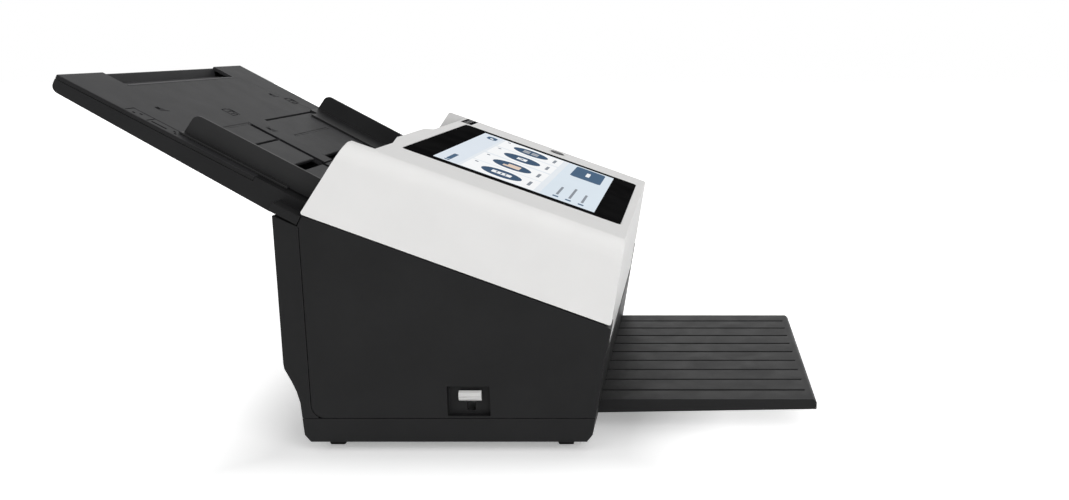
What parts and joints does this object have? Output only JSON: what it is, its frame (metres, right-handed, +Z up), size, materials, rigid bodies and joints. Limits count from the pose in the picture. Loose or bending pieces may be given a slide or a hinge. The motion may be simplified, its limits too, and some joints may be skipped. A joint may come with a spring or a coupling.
{
  "type": "document scanner",
  "caption": "Desktop sheet-fed document scanner with a hinged touch-screen cover, a sloping paper input tray with side guides and a flat output tray.",
  "frame": {"origin": "on the floor below the middle of the bounding box", "axes": "+Z up, +Y towards the paper input tray at the rear, +X towards the right of a person at the paper exit"},
  "size_m": [0.28, 0.4554, 0.2287],
  "materials": {
    "white_plastic": "satin white moulded plastic",
    "black_plastic": "fine-grained black moulded plastic",
    "dark_plastic": "dark moulded plastic",
    "tray_plastic": "dark grey moulded plastic",
    "guide_plastic": "black moulded plastic",
    "grey_plastic": "light grey moulded plastic",
    "frame_steel": "zinc-coated sheet steel",
    "shaft_steel": "ground steel",
    "tyre_rubber": "soft moulded rubber",
    "foot_rubber": "moulded rubber",
    "gear_plastic": "natural acetal plastic",
    "display_glass": "black-backed touch glass",
    "scan_glass": "clear pane over the sensor",
    "board_green": "green circuit board",
    "socket_metal": "plated sheet steel"
  },
  "bodies": {
    "base": {"base_pan": "black_plastic", "left_side_cover": "black_plastic", "right_side_cover": "black_plastic", "rear_cover": "black_plastic", "front_cover": "black_plastic", "left_frame": "frame_steel", "right_frame": "frame_steel", "lower_guide": "black_plastic", "feed_chute": "tray_plastic", "lower_scan_unit": "dark_plastic", "lower_scan_glass": "scan_glass", "drive_motor": "frame_steel", "main_board": "board_green", "network_port": "socket_metal", "usb_port": "socket_metal", "power_jack": "dark_plastic", "left_hinge_pin": "shaft_steel", "right_hinge_pin": "shaft_steel", "foot_front_left": "foot_rubber", "foot_front_right": "foot_rubber", "foot_rear_left": "foot_rubber", "foot_rear_right": "foot_rubber", "drive_belt": "tyre_rubber"},
    "feed_roller": {"feed_shaft": "shaft_steel", "feed_tyre_left": "tyre_rubber", "feed_tyre_right": "tyre_rubber", "feed_pulley": "gear_plastic"},
    "transport_roller": {"transport_shaft": "shaft_steel", "transport_tyre_left": "tyre_rubber", "transport_tyre_right": "tyre_rubber", "reduction_gear": "gear_plastic"},
    "exit_roller": {"exit_shaft": "shaft_steel", "exit_tyre_left": "tyre_rubber", "exit_tyre_right": "tyre_rubber", "exit_pulley": "gear_plastic"},
    "pinion": {"motor_pinion": "gear_plastic"},
    "knob": {"release_knob": "grey_plastic"},
    "latch": {"cover_latch": "grey_plastic"},
    "paper_output": {"output_tray": "tray_plastic"},
    "cover": {"cover_shell": "white_plastic", "cover_liner": "black_plastic", "touch_glass": "display_glass", "display_module": "dark_plastic", "display_board": "board_green", "upper_scan_unit": "dark_plastic", "upper_scan_glass": "scan_glass", "rim_window": "display_glass"},
    "separator": {"separation_roller": "tyre_rubber"},
    "transport_free_roller": {"transport_idler": "gear_plastic"},
    "exit_free_roller": {"exit_idler": "gear_plastic"},
    "button": {"power_button": "dark_plastic"},
    "paper_input": {"tray_plate": "tray_plastic", "tray_shell": "black_plastic"},
    "extension": {"tray_extension": "tray_plastic"},
    "left_paper_guide": {"left_guide": "guide_plastic"},
    "right_paper_guide": {"right_guide": "guide_plastic"},
    "guide_gear": {"guide_pinion": "gear_plastic"}
  },
  "joints": [
    {"name": "transport_turn", "type": "hinge", "parent": "base", "child": "transport_roller", "pos_m": [0, -0.00393, 0.09641], "axis": [1, 0, 0], "continuous": true},
    {"name": "feed_turn", "type": "hinge", "parent": "base", "child": "feed_roller", "pos_m": [0, 0.02629, 0.10583], "axis": [1, 0, 0], "continuous": true},
    {"name": "exit_turn", "type": "hinge", "parent": "base", "child": "exit_roller", "pos_m": [0, -0.05793, 0.06959], "axis": [1, 0, 0], "continuous": true},
    {"name": "pinion_turn", "type": "hinge", "parent": "base", "child": "pinion", "pos_m": [0.124, 0.00984, 0.07675], "axis": [1, 0, 0], "continuous": true},
    {"name": "knob_slide", "type": "slide", "parent": "base", "child": "knob", "axis": [0, 0, -1], "range_m": [0, 0.008], "stiffness_N_per_m": 250, "springref_m": -0.002},
    {"name": "latch_turn", "type": "hinge", "parent": "base", "child": "latch", "pos_m": [-0.1253, -0.028, 0.081], "axis": [-1, 0, 0], "range_deg": [0, 23.2]},
    {"name": "output_slide", "type": "slide", "parent": "base", "child": "paper_output", "axis": [0, 1, 0], "range_m": [0, 0.12]},
    {"name": "cover_hinge", "type": "hinge", "parent": "base", "child": "cover", "pos_m": [0, -0.0895, 0.0685], "axis": [1, 0, 0], "range_deg": [0, 75]},
    {"name": "separator_turn", "type": "hinge", "parent": "cover", "child": "separator", "pos_m": [0, 0.01549, 0.1276], "axis": [1, 0, 0], "continuous": true},
    {"name": "transport_free_turn", "type": "hinge", "parent": "cover", "child": "transport_free_roller", "pos_m": [0, -0.01074, 0.11011], "axis": [1, 0, 0], "continuous": true},
    {"name": "exit_free_turn", "type": "hinge", "parent": "cover", "child": "exit_free_roller", "pos_m": [0, -0.06474, 0.08329], "axis": [1, 0, 0], "continuous": true},
    {"name": "button_press", "type": "slide", "parent": "cover", "child": "button", "axis": [0, 0.3381, -0.9411], "range_m": [0, 0.001], "stiffness_N_per_m": 500, "springref_m": -0.001},
    {"name": "input_slide", "type": "slide", "parent": "base", "child": "paper_input", "axis": [0, 0.879, 0.4768], "range_m": [0, 0.09]},
    {"name": "extension_slide", "type": "slide", "parent": "paper_input", "child": "extension", "axis": [0, 0.879, 0.4768], "range_m": [0, 0.09]},
    {"name": "left_guide_slide", "type": "slide", "parent": "paper_input", "child": "left_paper_guide", "axis": [1, 0, 0], "range_m": [0, 0.074]},
    {"name": "right_guide_slide", "type": "slide", "parent": "paper_input", "child": "right_paper_guide", "axis": [-1, 0, 0], "range_m": [0, 0.074]},
    {"name": "guide_gear_turn", "type": "hinge", "parent": "paper_input", "child": "guide_gear", "pos_m": [0, 0.14886, 0.18455], "axis": [0, -0.4768, 0.879], "range_deg": [0, 471.2]}
  ],
  "couplings": [
    {"joint": "feed_turn", "follows": "transport_turn", "ratio": 1},
    {"joint": "exit_turn", "follows": "transport_turn", "ratio": 1},
    {"joint": "pinion_turn", "follows": "transport_turn", "ratio": -3},
    {"joint": "latch_turn", "follows": "knob_slide", "rad_per_m": 50},
    {"joint": "right_guide_slide", "follows": "left_guide_slide", "ratio": 1},
    {"joint": "guide_gear_turn", "follows": "left_guide_slide", "rad_per_m": 111.11}
  ]
}
